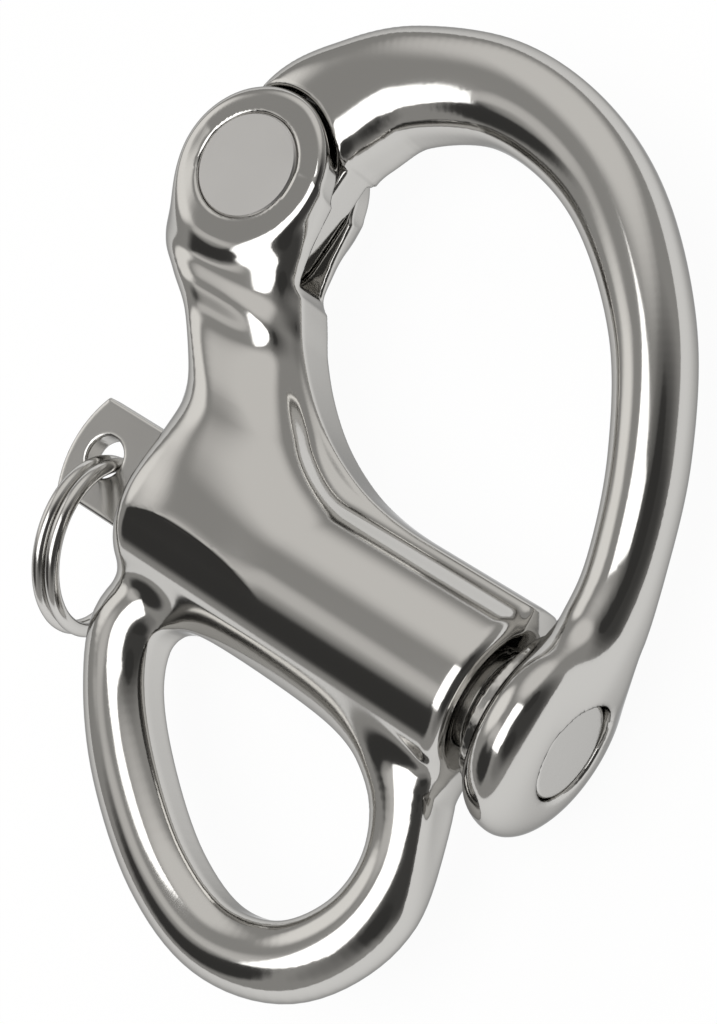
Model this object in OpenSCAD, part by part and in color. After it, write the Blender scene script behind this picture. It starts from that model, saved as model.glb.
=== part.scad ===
// Fixed eye snap hook: a forged body with a fixed eye, a swinging bail on a rivet,
// and a sprung plunger that locks the bail's free end. It lies on its side:
// X runs along the plunger, Y towards the crown of the bail, Z through its thickness.
// The origin is the middle of the fixed eye, on the middle plane of the forging.

/* [Barrel] */
// Height of the plunger's axis above the middle of the eye
barrel_y = 13; // [12:0.5:15]
// Outer diameter of the barrel
barrel_d = 13.4; // [12:0.2:15]
// Where the barrel's closed end lies, left of the middle of the eye
barrel_left = 18.4; // [17:0.2:19]
// Where the barrel's mouth lies, right of the middle of the eye
barrel_mouth = 13.3; // [12:0.1:14]
// Rounding of the barrel's closed end
barrel_round = 2.2; // [1:0.1:3]
// Rounding of its mouth
mouth_round = 1.5; // [0.8:0.1:2.2]
// Thickness of the wall that closes the barrel, behind the spring
end_wall = 3.2; // [2:0.1:5]

/* [Fixed eye] */
// Diameter of the bar round the eye
eye_bar_d = 5.8; // [4.5:0.1:7]
// Width of the eye between the middles of its bars
eye_w = 29; // [26:0.2:32]
// How far the middle between those bars lies left of the middle of the opening
eye_shift = 1.6; // [1:0.1:2.4]
// Reach of the eye below its middle, to the middle of the bar
eye_drop = 11.1; // [9:0.1:14]
// Room milled round the boss where the eye's shoulder meets the barrel's mouth
mill_gap = 0.4; // [0.3:0.1:3]
// Slope of that milled face, in degrees
mill_slope = 22; // [10:1:40]
// How far the top bar of the eye lies below the plunger's axis
eye_sink = 4; // [3.5:0.1:5]
// Depth of the flat ground round the inside of the eye
eye_flat = 0.35; // [0.1:0.05:0.8]

/* [Arm and fork] */
// Pivot's distance left of the middle of the eye
pivot_left = 23.7; // [21:0.1:25]
// Pivot's height above the plunger's axis
pivot_rise = 23.7; // [22:0.1:26]
// Radius of the fork's ears round the pivot
ear_r = 6.4; // [5.5:0.1:7]
// Thickness across both ears of the fork
fork_t = 9.2; // [8:0.1:11]
// Thickness of the arm where it runs into the barrel
arm_root_t = 12.2; // [10:0.1:13]
// Width of the arm below the fork
arm_w = 10.65; // [9:0.1:13]
// Width of the slot between the ears
slot_w = 3.8; // [3:0.1:5]
// Gap between the bottom of the slot and the bail's tongue
slot_gap = 0.25; // [0.2:0.05:1]
// Where the web's hollow edge runs out level, right of the middle of the eye
web_end = 3.1; // [0:0.1:6]
// How far the web stands above the barrel
web_rise = 0.1; // [0.05:0.05:0.6]
// Thickness of the web that fills the corner of arm and barrel
web_t = 4; // [3:0.1:6]
// Radius of the fillet between the arm and the barrel
web_fillet = 22; // [14:0.5:28]

/* [Bail] */
// Height of the crown's bar above the pivot, to its middle
crown_rise = 13.4; // [12:0.1:16]
// Height of the bail's bar at the crown
crown_h = 7.25; // [6.5:0.1:9]
// Thickness of the bail's bar at the crown
crown_t = 7; // [6:0.1:8]
// Thickness that the bail's root is trimmed to beside the pivot
root_t = 8; // [6:0.1:8.4]
// Diameter of the bail's bar down its long side
flank_d = 5.5; // [5:0.1:6.5]
// Reach of the long side to the right of the middle of the eye, to its middle
flank_x = 16.6; // [16:0.1:18]
// Radius of the tongue round the pivot
tongue_r = 5.4; // [5:0.1:6]
// Clearance between each side of the tongue and the slot
tongue_gap = 0.15; // [0.1:0.05:0.4]
// Gap between the ears and the shoulders of the bail
shoulder_gap = 0.2; // [0.15:0.05:1]
// Diameter of the round boss that the plunger enters
boss_d = 14.8; // [12.5:0.1:15]
// Length of the boss along the plunger
boss_l = 5.4; // [5:0.1:7]
// Gap between the barrel's mouth and the boss
boss_gap = 0.7; // [0.4:0.1:1.5]
// Diameter of the collar on the boss that faces the barrel
collar_d = 10.8; // [9:0.1:12]
// Length of that collar
collar_l = 0.9; // [0.4:0.1:1.4]
// Length of the boss's rim behind the collar
boss_near = 2.4; // [1.2:0.1:3]
// Width of the flat ring left round the plunger's face
boss_land = 0.2; // [0.15:0.05:1]

/* [Rivet] */
// Diameter of the rivet's shank
rivet_d = 6; // [5:0.1:7]
// Diameter of the rivet's flat heads
rivet_head_d = 8.1; // [7:0.1:9]
// Depth of each head in its ear
rivet_head_t = 1.2; // [0.8:0.1:1.6]
// How far each head stands proud of its ear
rivet_proud = 0.12; // [0:0.02:0.4]
// Radial clearance of the tongue on the rivet
rivet_fit = 0.06; // [0.02:0.01:0.1]

/* [Plunger] */
// Diameter of the plunger's locking end
plunger_d = 7.3; // [6:0.1:8]
// Length of the plunger's locking end
plunger_l = 16.6; // [15:0.2:18]
// Depth of the plunger's face inside the end of the boss
plunger_inset = 0.2; // [0.1:0.05:1]
// Diameter of the stem that carries the spring
stem_d = 4.4; // [3.5:0.1:4.8]
// Radial clearance of the plunger and its stem in their bores
plunger_fit = 0.08; // [0.02:0.01:0.1]
// Bevel round the ends of the plunger
plunger_bevel = 0.3; // [0.1:0.05:0.6]
// Length of the flattened end outside the barrel
tab_l = 9; // [8:0.1:12]
// Gap between the flattened end and the barrel's end
tab_root_gap = 0.1; // [0.05:0.05:0.5]
// Width of the flattened end
tab_w = 8; // [6:0.1:8.5]
// Thickness of the flattened end
tab_t = 2; // [1.6:0.1:2.6]
// Room left for the flattened end where the arm overhangs the barrel
tab_gap = 0.25; // [0.2:0.05:0.5]
// Radius of the flattened end's curved edge
tab_curve = 9; // [6:0.5:14]
// Diameter of the hole for the split ring
tab_hole_d = 3.2; // [2.8:0.1:3.6]
// Distance of that hole from the barrel's end
tab_hole_out = 5.8; // [5.2:0.1:6.5]

/* [Spring] */
// Diameter of the spring's wire
spring_wire = 0.8; // [0.6:0.05:0.9]
// Number of turns
spring_turns = 9; // [6:1:10]
// Gap between each end of the spring and its seat
spring_end_gap = 0.05; // [0.02:0.01:0.2]
// Clearance between the spring and the barrel's bore
spring_gap = 0.15; // [0.1:0.05:0.3]

/* [Split ring] */
// Outer diameter of the split ring
ring_d = 13.8; // [11:0.1:14]
// Diameter of its wire
ring_wire = 1.1; // [0.9:0.05:1.2]
// How far the ring hangs down from the middle of its hole
ring_sag = 0.2; // [0.1:0.05:0.5]
// Number of turns of wire
ring_turns = 2; // [2:1:2]
// Gap between two turns
ring_turn_gap = 0.05; // [0.02:0.01:0.1]
// Lean of the hanging ring toward the eye
ring_lean = 16.5; // [5:0.5:30]
// How far the ring has slid round in its hole
ring_roll = 14; // [0:1:20]

/* [Hidden] */
steel = [0.72, 0.71, 0.69];
dark_steel = [0.55, 0.54, 0.53];
through = 1;

barrel_len = barrel_mouth + barrel_left;
bore_r = plunger_d / 2 + plunger_fit;
stem_bore_r = stem_d / 2 + plunger_fit;
pivot = [-pivot_left, barrel_y + pivot_rise];
tongue_t = slot_w - 2 * tongue_gap;
shoulder_r = ear_r + shoulder_gap;
slot_floor = pivot.y - tongue_r - slot_gap;
boss_left = barrel_mouth + boss_gap;
boss_right = boss_left + boss_l;
boss_far = boss_l - collar_l - boss_near;
plunger_face = boss_right - plunger_inset;
plunger_step = plunger_face - plunger_l;
spring_seat = -barrel_left + end_wall;
tab_hole = [-barrel_left - tab_hole_out, barrel_y];
eye_top = barrel_y - eye_sink;
ring_pitch = ring_wire + ring_turn_gap;
ring_r = (ring_d - ring_wire) / 2;

function lerp(a, b, t) = a + (b - a) * t;

// Row of a table at a place between its rows i and i + 1, on a smooth curve through all
function spline_at(p, i, t) =
    let (n = len(p),
         a = p[max(i - 1, 0)], b = p[i], c = p[min(i + 1, n - 1)], d = p[min(i + 2, n - 1)])
    0.5 * (2 * b + (c - a) * t + (2 * a - 5 * b + 4 * c - d) * t * t
           + (3 * b - a - 3 * c + d) * t * t * t);
function ring_at(p, i, t) =
    let (n = len(p), a = p[(i + n - 1) % n], b = p[i], c = p[(i + 1) % n], d = p[(i + 2) % n])
    0.5 * (2 * b + (c - a) * t + (2 * a - 5 * b + 4 * c - d) * t * t
           + (3 * b - a - 3 * c + d) * t * t * t);
function spline(p, steps) =
    concat([for (i = [0:len(p) - 2]) for (k = [0:steps - 1]) spline_at(p, i, k / steps)],
           [p[len(p) - 1]]);
function closed_spline(p, steps) =
    [for (i = [0:len(p) - 1]) for (k = [0:steps - 1]) ring_at(p, i, k / steps)];

// Rounded section: half width w, half thickness t, fullness n (2 is an ellipse),
// cut flat at u_low and u_high across and at v_cut through its thickness
function signed_power(x, e) = sign(x) * pow(abs(x), e);
function section(w, t, n, sides, u_low, u_high, v_cut) =
    [for (k = [0:sides - 1])
        let (a = 360 * (k + 0.5) / sides)
        [min(max(w * signed_power(cos(a), 2 / n), u_low), u_high),
         min(max(t * signed_power(sin(a), 2 / n), -v_cut), v_cut)]];

// Skin over sections that all have as many points. Open skins get flat ends.
module skin(rings, closed = false) {
    rows = len(rings);
    cols = len(rings[0]);
    points = [for (r = rings) for (p = r) p];
    last = closed ? rows - 1 : rows - 2;
    sides = [for (i = [0:last]) for (j = [0:cols - 1])
        let (a = i * cols + j, b = i * cols + (j + 1) % cols,
             c = ((i + 1) % rows) * cols + (j + 1) % cols, d = ((i + 1) % rows) * cols + j)
        each [[a, b, c], [a, c, d]]];
    ends = closed ? [] : [[for (j = [cols - 1:-1:0]) j], [for (j = [0:cols - 1]) (rows - 1) * cols + j]];
    polyhedron(points = points, faces = concat(sides, ends), convexity = 8);
}

// Heading of a path at its station i, in degrees
function heading(path, i, closed) =
    let (n = len(path),
         a = closed ? path[(i + n - 1) % n] : path[max(i - 1, 0)],
         b = closed ? path[(i + 1) % n] : path[min(i + 1, n - 1)])
    atan2(b.y - a.y, b.x - a.x);

// Sections set across a path in the middle plane. The u of a section points to the path's right.
function along(path, sections, closed) =
    [for (i = [0:len(path) - 1])
        let (h = heading(path, i, closed), across = [sin(h), -cos(h)])
        [for (p = sections[i]) [path[i].x + p[0] * across.x, path[i].y + p[0] * across.y, p[1]]]];

// Cylinder along X with rounded ends
module round_bar(length, d, low_r, high_r) {
    rotate([0, 90, 0])
        rotate_extrude($fn = 96)
            polygon(concat([[0, 0]],
                [for (a = [-90:10:0]) [d / 2 - low_r + low_r * cos(a), low_r + low_r * sin(a)]],
                [for (a = [0:10:90]) [d / 2 - high_r + high_r * cos(a), length - high_r + high_r * sin(a)]],
                [[0, length]]));
}

// ---- Body: barrel, fixed eye, arm and fork in one forging ----

eye_half = eye_w / 2;
eye_left = -eye_shift - eye_half;
eye_right = -eye_shift + eye_half;
// Corners of the eye's middle line, and how much thicker than the bar it is there
eye_rows = [
    [eye_left + 8.4, eye_top, 0], [eye_left + 3.1, eye_top - 1.4, 0.6],
    [eye_left + 0.7, eye_top - 4.9, 0.4], [eye_left + 2.2, 0.2, 0.2], [eye_left + 7.3, -5.1, 0],
    [eye_left + 13.5, -eye_drop + 2, 0], [5.4 - eye_shift, -eye_drop - 0.1, 0],
    [eye_right - 3.7, -eye_drop + 1.9, 0], [eye_right - 0.5, -eye_drop + 6.6, 0],
    [eye_right - 0.15, 1.2, 0.1], [eye_right - 3.05, 6, 0.55], [eye_right - 9, eye_top, 0.1]];

module eye_ring() {
    rows = closed_spline(eye_rows, 4);
    skin(along(rows, [for (row = rows)
        let (r = eye_bar_d / 2 + row[2])
        section(r, r, 2, 20, -r + eye_flat, r, r)], true), true);
}

// Rows of the arm: height, left edge, right edge, half thickness, fullness
waist = [-barrel_left, barrel_y + 13.2];
arm_rows = [
    [barrel_y, waist.x + 0.8, waist.x + 16, arm_root_t / 2, 2.3],
    [barrel_y + 4.4, waist.x - 0.7, waist.x + 14.6, arm_root_t / 2, 2.4],
    [waist.y - 4.8, waist.x - 1.6, waist.x + 10.3, lerp(fork_t, arm_root_t, 0.7) / 2, 2.8],
    [waist.y, waist.x + 5.4 - arm_w, waist.x + 5.4, lerp(fork_t, arm_root_t, 0.15) / 2, 3.4],
    [waist.y + 2.7, waist.x + 3.2 - arm_w - 1.5, waist.x + 3.2, fork_t / 2, 4],
    [waist.y + 4.7, pivot.x - ear_r + 1, pivot.x + ear_r + 1.4, fork_t / 2, 4.6],
    [pivot.y - 3.2, pivot.x - ear_r + 0.5, pivot.x + ear_r + 0.8, fork_t / 2, 5],
    [pivot.y, pivot.x - ear_r, pivot.x + ear_r, fork_t / 2, 5.5]];

function ear_row(a) =
    [pivot.y + ear_r * sin(a), pivot.x - ear_r * cos(a), pivot.x + ear_r * cos(a), fork_t / 2, 5.5];

module arm() {
    low = spline(arm_rows, 3);
    rows = concat(low, [for (a = [15, 30, 44, 57, 68, 78, 86]) ear_row(a)]);
    skin([for (r = rows)
        let (w = (r[2] - r[1]) / 2, x = (r[2] + r[1]) / 2)
        [for (p = section(w, r[3] + 0.25, r[4], 28, -w, w, r[3])) [x + p[0], r[0], p[1]]]]);
}

// Flat band left by the trimming of the forging, in the corner of arm and barrel
module web() {
    top = barrel_y + barrel_d / 2 + web_rise;
    side = web_end - web_fillet;
    translate([0, 0, -web_t / 2])
        linear_extrude(web_t)
            difference() {
                translate([side, barrel_y])
                    square([barrel_mouth - mouth_round / 2 - side, top - barrel_y + web_fillet]);
                translate([side + web_fillet, top + web_fillet])
                    circle(web_fillet, $fn = 96);
                translate([side + web_fillet, top])
                    square([barrel_len, web_fillet + through]);
                translate([side - through, slot_floor - 1])
                    square([barrel_len, web_fillet]);
            }
}

module barrel() {
    translate([-barrel_left, barrel_y, 0])
        round_bar(barrel_len, barrel_d, barrel_round, mouth_round);
}

module body() {
    color(steel)
        difference() {
            union() {
                barrel();
                eye_ring();
                arm();
                web();
            }
            // slot for the bail's tongue
            translate([pivot.x - 2 * ear_r, slot_floor, -slot_w / 2])
                cube([4 * ear_r, 3 * ear_r, slot_w]);
            // hole and seats of the rivet
            translate([pivot.x, pivot.y, -fork_t])
                cylinder(h = 2 * fork_t, d = rivet_d, $fn = 64);
            for (side = [-1, 1])
                translate([pivot.x, pivot.y, side * (fork_t / 2 - rivet_head_t + fork_t / 2)])
                    cylinder(h = fork_t, d = rivet_head_d, center = true, $fn = 64);
            // relief for the pull tab where the arm overhangs the barrel's end
            translate([-barrel_left - barrel_len, barrel_y - tab_w / 2 - tab_gap, -tab_t / 2 - tab_gap])
                cube([barrel_len, tab_w + 2 * tab_gap, tab_t + 2 * tab_gap]);
            // face milled round the barrel's mouth, which trims the eye's shoulder
            translate([barrel_mouth, barrel_y, 0])
                rotate([0, 90, 0])
                    cylinder(h = boss_l, r1 = boss_d / 2 + mill_gap,
                             r2 = boss_d / 2 + mill_gap + boss_l / tan(mill_slope), $fn = 96);
            // bore of the plunger and hole of its stem
            translate([spring_seat, barrel_y, 0])
                rotate([0, 90, 0])
                    cylinder(h = barrel_len, r = bore_r, $fn = 96);
            translate([-barrel_left - through, barrel_y, 0])
                rotate([0, 90, 0])
                    cylinder(h = barrel_len, r = stem_bore_r, $fn = 64);
        }
}

// ---- Bail: tongue, crown, long side and boss in one forging ----

crown_y = pivot.y + crown_rise;
bail_reach = flank_x - pivot.x;
// Rows of the bail from the tongue over the crown to the flank: shares of its reach and rise,
// half height and half thickness as shares of the crown's, and fullness
root_rows = [
    [0.042, -0.246, 0.69, 0.571, 3.6], [0.041, 0.09, 0.68, 0.571, 3.6],
    [0.038, 0.359, 0.663, 0.571, 3.4], [0.072, 0.612, 0.703, 0.571, 3],
    [0.154, 0.798, 0.576, 0.55, 2.6], [0.33, 0.998, 0.515, 0.5, 2.2], [0.498, 0.955, 0.51, 0.471, 2],
    [0.645, 0.7, 0.445, 0.45, 2], [0.818, 0.214, 0.412, 0.429, 2]];
// Rows of the flank and boss: shift along X and half sizes as shares of the flank's diameter,
// and height above the plunger's axis as a share of the pivot's
flank_rows = [
    [-0.582, 0.819, 0.51, 0.518, 2], [-0.145, 0.532, 0.5, 0.5, 2],
    [0.05, 0.304, 0.53, 0.645, 2], [0.06, 0.084, 0.47, 0.8, 2.2]];
bail_rows = concat(
    [for (r = root_rows) [pivot.x + r[0] * bail_reach, pivot.y + r[1] * crown_rise,
                          r[2] * crown_h, r[3] * crown_t, r[4]]],
    [for (r = flank_rows) [flank_x + r[0] * flank_d, barrel_y + r[1] * pivot_rise,
                           r[2] * flank_d, r[3] * flank_d, r[4]]]);

// Half outline of the boss: a collar, a full rim and a crown round the plunger's face
function boss_outline() =
    let (r = boss_d / 2, near_r = collar_d / 2, far_r = bore_r + boss_land, rim = boss_left + collar_l)
    concat([[0, boss_left], [near_r, boss_left]],
           [for (a = [0:10:90]) [near_r + (r - near_r) * sin(a), rim + boss_near * (1 - cos(a))]],
           [for (a = [80:-10:0]) [far_r + (r - far_r) * sin(a), boss_right - boss_far * (1 - cos(a))]],
           [[0, boss_right]]);

module bail() {
    rows = spline(bail_rows, 3);
    path = [for (r = rows) [r[0], r[1]]];
    color(steel)
        difference() {
            union() {
                skin(along(path, [for (r = rows) section(r[2], r[3], r[4], 24, -r[2], r[2], root_t / 2)], false));
                translate([pivot.x, pivot.y, -tongue_t / 2])
                    cylinder(h = tongue_t, r = tongue_r, $fn = 96);
                translate([0, barrel_y, 0])
                    rotate([0, 90, 0])
                        rotate_extrude($fn = 96)
                            polygon(boss_outline());
            }
            // shoulders that clear the ears, above and below the tongue
            for (side = [-1, 1])
                translate([pivot.x, pivot.y, side * (tongue_t / 2 + fork_t / 2)]) {
                    cylinder(h = fork_t, r = shoulder_r, center = true, $fn = 96);
                    translate([-bail_reach, -bail_reach - shoulder_gap, -fork_t / 2])
                        cube([2 * bail_reach - 2 * flank_d, bail_reach, fork_t]);
                }
            translate([pivot.x, pivot.y, 0])
                cylinder(h = 2 * fork_t, r = rivet_d / 2 + rivet_fit, center = true, $fn = 64);
            translate([boss_left - through, barrel_y, 0])
                rotate([0, 90, 0])
                    cylinder(h = boss_l + 2 * through, r = bore_r, $fn = 96);
        }
}

// ---- Rivet with a flat head set in each ear ----

module pivot_rivet() {
    half = fork_t / 2 + rivet_proud;
    seat = fork_t / 2 - rivet_head_t;
    color(steel)
        translate([pivot.x, pivot.y, 0])
            rotate_extrude($fn = 64)
                polygon([[0, -half], [rivet_head_d / 2 - rivet_proud, -half],
                         [rivet_head_d / 2, -half + rivet_proud], [rivet_head_d / 2, -seat],
                         [rivet_d / 2, -seat], [rivet_d / 2, seat],
                         [rivet_head_d / 2, seat], [rivet_head_d / 2, half - rivet_proud],
                         [rivet_head_d / 2 - rivet_proud, half], [0, half]]);
}

// ---- Plunger: locking end, stem and flattened, drilled end in one pin ----

module plunger() {
    r = plunger_d / 2;
    stem_r = stem_d / 2;
    tab_root = -barrel_left - tab_root_gap;
    color(steel)
        difference() {
            union() {
                translate([0, barrel_y, 0])
                    rotate([0, 90, 0])
                        rotate_extrude($fn = 96)
                            polygon([[0, tab_root - 1], [stem_r, tab_root - 1], [stem_r, plunger_step],
                                     [r - plunger_bevel, plunger_step], [r, plunger_step + plunger_bevel],
                                     [r, plunger_face - plunger_bevel], [r - plunger_bevel, plunger_face],
                                     [0, plunger_face]]);
                translate([tab_root - tab_l, barrel_y - tab_w / 2, -tab_t / 2])
                    tab_blank();
            }
            translate([tab_hole.x, tab_hole.y, -through - tab_t])
                cylinder(h = 2 * tab_t + 2 * through, d = tab_hole_d, $fn = 64);
        }
}

module tab_blank() {
    linear_extrude(tab_t)
        intersection() {
            square([tab_l, tab_w]);
            translate([tab_curve, tab_w / 2])
                circle(tab_curve, $fn = 96);
        }
}

// ---- Coil spring between the barrel's end wall and the plunger's step ----

module plunger_spring() {
    wire_r = spring_wire / 2;
    coil_r = bore_r - spring_gap - wire_r;
    low = spring_seat + wire_r + spring_end_gap;
    high = plunger_step - wire_r - spring_end_gap;
    steps = 16 * spring_turns;
    color(dark_steel)
        skin([for (i = [0:steps])
            let (t = i / steps, a = 360 * spring_turns * t, x = lerp(low, high, t))
            [for (k = [0:7])
                let (c = 45 * k, radius = coil_r + wire_r * cos(c))
                [x + wire_r * sin(c), barrel_y + radius * cos(a), radius * sin(a)]]]);
}

// ---- Split ring through the flattened end, hanging against the eye ----

// Wire wound twice: its plane leans by ring_lean and it has slid round by ring_roll
module split_ring() {
    wire_r = ring_wire / 2;
    hang = [sin(ring_lean) * cos(ring_roll), -cos(ring_lean) * cos(ring_roll), -sin(ring_roll)];
    side = [cos(ring_lean), sin(ring_lean), 0];
    third = cross(hang, side);
    centre = [tab_hole.x, tab_hole.y, 0] + hang * (ring_sag + ring_r);
    steps = 28 * ring_turns;
    color(steel)
        skin([for (i = [0:steps])
            let (a = 360 * ring_turns * i / steps - 90,
                 shift = ring_pitch * (ring_turns * i / steps - ring_turns / 2))
            [for (k = [0:7])
                let (c = 45 * k, radius = ring_r + wire_r * cos(c))
                centre + hang * (radius * cos(a)) + third * (radius * sin(a))
                    + side * (shift - wire_r * sin(c))]]);
}

body();
bail();
pivot_rivet();
plunger();
plunger_spring();
split_ring();
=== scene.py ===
"""Fixed eye snap hook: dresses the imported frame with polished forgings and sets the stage."""

import logging
import math
from dataclasses import dataclass, field
from enum import Enum
from typing import Callable, Optional, Sequence, Union

import bpy
import numpy as np
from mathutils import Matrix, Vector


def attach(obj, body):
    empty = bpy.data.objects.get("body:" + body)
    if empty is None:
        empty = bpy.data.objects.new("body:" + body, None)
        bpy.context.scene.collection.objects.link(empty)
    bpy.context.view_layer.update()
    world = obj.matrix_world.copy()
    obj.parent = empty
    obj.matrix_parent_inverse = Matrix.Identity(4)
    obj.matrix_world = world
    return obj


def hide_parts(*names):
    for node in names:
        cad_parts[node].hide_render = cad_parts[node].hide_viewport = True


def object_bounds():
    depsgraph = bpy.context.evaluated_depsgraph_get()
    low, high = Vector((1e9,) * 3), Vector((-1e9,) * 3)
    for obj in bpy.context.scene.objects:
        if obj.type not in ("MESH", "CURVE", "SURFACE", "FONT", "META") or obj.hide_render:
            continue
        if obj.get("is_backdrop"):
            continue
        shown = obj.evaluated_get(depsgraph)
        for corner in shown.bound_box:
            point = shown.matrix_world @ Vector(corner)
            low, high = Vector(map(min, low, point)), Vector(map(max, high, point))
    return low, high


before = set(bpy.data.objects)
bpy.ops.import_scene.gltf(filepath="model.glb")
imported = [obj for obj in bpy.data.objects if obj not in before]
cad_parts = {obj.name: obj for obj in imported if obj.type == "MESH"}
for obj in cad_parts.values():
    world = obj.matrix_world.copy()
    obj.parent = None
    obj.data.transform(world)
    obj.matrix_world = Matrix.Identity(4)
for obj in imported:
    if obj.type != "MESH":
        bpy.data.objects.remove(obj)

import openvdb
from mathutils import Matrix, Vector

log = logging.getLogger("snap_hook")

MM = 0.001

# Distances are only exact within this many millimetres of a surface.
REACH = 4.0

Array = np.ndarray
Shape = Callable[[Array, Array, Array], Array]
Rows = Sequence[Sequence[float]]
Triple = tuple[float, float, float]
Colour = tuple[float, float, float, float]


# ---------------------------------------------------------------- implicit solids


class Blend:
    """Ways to join signed distances. Negative is inside."""

    @staticmethod
    def union(a: Array, b: Array, radius: float = 0.0) -> Array:
        """Joins two solids, with a fillet of about that radius in the corner.

        Args:
            a: distances to the first solid, in millimetres.
            b: distances to the second one.
            radius: reach of the fillet; 0 leaves the corner sharp.

        Returns:
            Distances to the joined solid.
        """
        if radius <= 0:
            return np.minimum(a, b)
        mix = np.clip(0.5 + 0.5 * (b - a) / radius, 0.0, 1.0)
        return b + (a - b) * mix - radius * mix * (1.0 - mix)

    @staticmethod
    def meet(a: Array, b: Array, radius: float = 0.0) -> Array:
        """Keeps what lies in both solids, with the edge rounded by about that radius."""
        return -Blend.union(-a, -b, radius)

    @staticmethod
    def cut(a: Array, tool: Array, radius: float = 0.0) -> Array:
        """Takes the tool out of the solid, with the edge rounded by about that radius."""
        return Blend.meet(a, -tool, radius)


def catmull(rows: Rows, steps: int, closed: bool = False) -> Array:
    """Samples a smooth curve through a table's rows.

    Args:
        rows: the rows; every column is carried along the curve.
        steps: samples between two rows.
        closed: True if the last row leads back to the first.

    Returns:
        One line per sample.
    """
    table = np.asarray(rows, dtype=float)
    if closed:
        before, after, beyond = np.roll(table, 1, 0), np.roll(table, -1, 0), np.roll(table, -2, 0)
        starts = table
    else:
        starts = table[:-1]
        before = np.vstack([table[:1], table[:-2]])
        after = table[1:]
        beyond = np.vstack([table[2:], table[-1:]])
    out = []
    for a, b, c, d in zip(before, starts, after, beyond):
        for k in range(steps):
            t = k / steps
            out.append(0.5 * (2 * b + (c - a) * t + (2 * a - 5 * b + 4 * c - d) * t * t
                              + (3 * b - a - 3 * c + d) * t ** 3))
    if not closed:
        out.append(table[-1])
    return np.array(out)


class Spine:
    """A smooth plane curve whose columns after x and y are carried to the points near it."""

    batch: int = 40000

    def __init__(self, rows: Rows, closed: bool = False, steps: int = 12) -> None:
        """Samples the curve once.

        Args:
            rows: x, y and any further columns, in millimetres.
            closed: True for a ring.
            steps: samples between two rows.
        """
        table = catmull(rows, steps, closed)
        self.start = table if closed else table[:-1]
        self.end = np.roll(table, -1, 0) if closed else table[1:]

    def near(self, x: Array, y: Array) -> tuple[Array, list[Array]]:
        """Finds, for each point, the nearest place on the curve.

        Args:
            x: the points' first coordinate.
            y: their second one, of the same shape.

        Returns:
            Distance across the curve, positive to the right of its run, and the carried columns.
        """
        shape = np.broadcast(x, y).shape
        px = np.broadcast_to(x, shape).reshape(-1)
        py = np.broadcast_to(y, shape).reshape(-1)
        columns = self.start.shape[1] - 2
        across = np.empty(px.size)
        carried = [np.empty(px.size) for _ in range(columns)]
        ax, ay = self.start[:, 0], self.start[:, 1]
        dx, dy = self.end[:, 0] - ax, self.end[:, 1] - ay
        length = np.maximum(dx * dx + dy * dy, 1e-12)
        for low in range(0, px.size, self.batch):
            part = slice(low, low + self.batch)
            rx = px[part, None] - ax
            ry = py[part, None] - ay
            t = np.clip((rx * dx + ry * dy) / length, 0.0, 1.0)
            distance = (rx - t * dx) ** 2 + (ry - t * dy) ** 2
            best = np.argmin(distance, axis=1)
            row = np.arange(best.size)
            t = t[row, best]
            side = rx[row, best] * dy[best] - ry[row, best] * dx[best]
            across[part] = np.sqrt(distance[row, best]) * np.where(side >= 0, 1.0, -1.0)
            for k in range(columns):
                a = self.start[best, k + 2]
                carried[k][part] = a + (self.end[best, k + 2] - a) * t
        return across.reshape(shape), [c.reshape(shape) for c in carried]


def oval(u: Array, v: Array, half_u: Array, half_v: Array, fullness: Array) -> Array:
    """Distance to a superellipse.

    Args:
        u: coordinate across its width.
        v: coordinate across its height.
        half_u: half its width.
        half_v: half its height.
        fullness: 2 is an ellipse, and a higher one is squarer.

    Returns:
        The distances, nearly exact close to the outline.
    """
    radius = np.sqrt(u * u + v * v) + 1e-9
    ratio = np.abs(u / half_u) ** fullness + np.abs(v / half_v) ** fullness
    return radius - radius / (ratio ** (1.0 / fullness) + 1e-9)


def widened(half_u: Array, half_v: Array, fullness: Array, band: Array) -> Array:
    """Half width that an oval needs so that trimming it to half_u leaves a flat of that half band."""
    share = np.clip(band / half_v, 0.0, 0.95)
    return half_u / (1.0 - share ** fullness) ** (1.0 / fullness)


def rounded_box(a: Array, b: Array, half_a: float, half_b: float, radius: Array) -> Array:
    """Distance to a rectangle with rounded corners, centred on the origin.

    Args:
        a: coordinate along the first side.
        b: coordinate along the second side.
        half_a: half the first side.
        half_b: half the second side.
        radius: of the corners.

    Returns:
        The distances.
    """
    over_a = np.abs(a) - (half_a - radius)
    over_b = np.abs(b) - (half_b - radius)
    outside = np.sqrt(np.maximum(over_a, 0.0) ** 2 + np.maximum(over_b, 0.0) ** 2)
    return outside + np.minimum(np.maximum(over_a, over_b), 0.0) - radius


def profile(a: Array, b: Array, outline: Rows) -> Array:
    """Distance in a plane to a closed outline.

    Args:
        a: the points' first coordinate.
        b: their second one.
        outline: the outline's corners.

    Returns:
        The distances.
    """
    points = np.asarray(outline, dtype=float)
    best = np.full(a.shape, np.inf)
    inside = np.zeros(a.shape, dtype=bool)
    for (x0, y0), (x1, y1) in zip(points, np.roll(points, -1, 0)):
        dx, dy = x1 - x0, y1 - y0
        t = np.clip(((a - x0) * dx + (b - y0) * dy) / max(dx * dx + dy * dy, 1e-12), 0.0, 1.0)
        best = np.minimum(best, (a - x0 - t * dx) ** 2 + (b - y0 - t * dy) ** 2)
        if y0 != y1:
            inside ^= ((y0 > b) != (y1 > b)) & (a < dx * (b - y0) / dy + x0)
    return np.where(inside, -1.0, 1.0) * np.sqrt(best)


# ---------------------------------------------------------------- sizes of the hook


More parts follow.
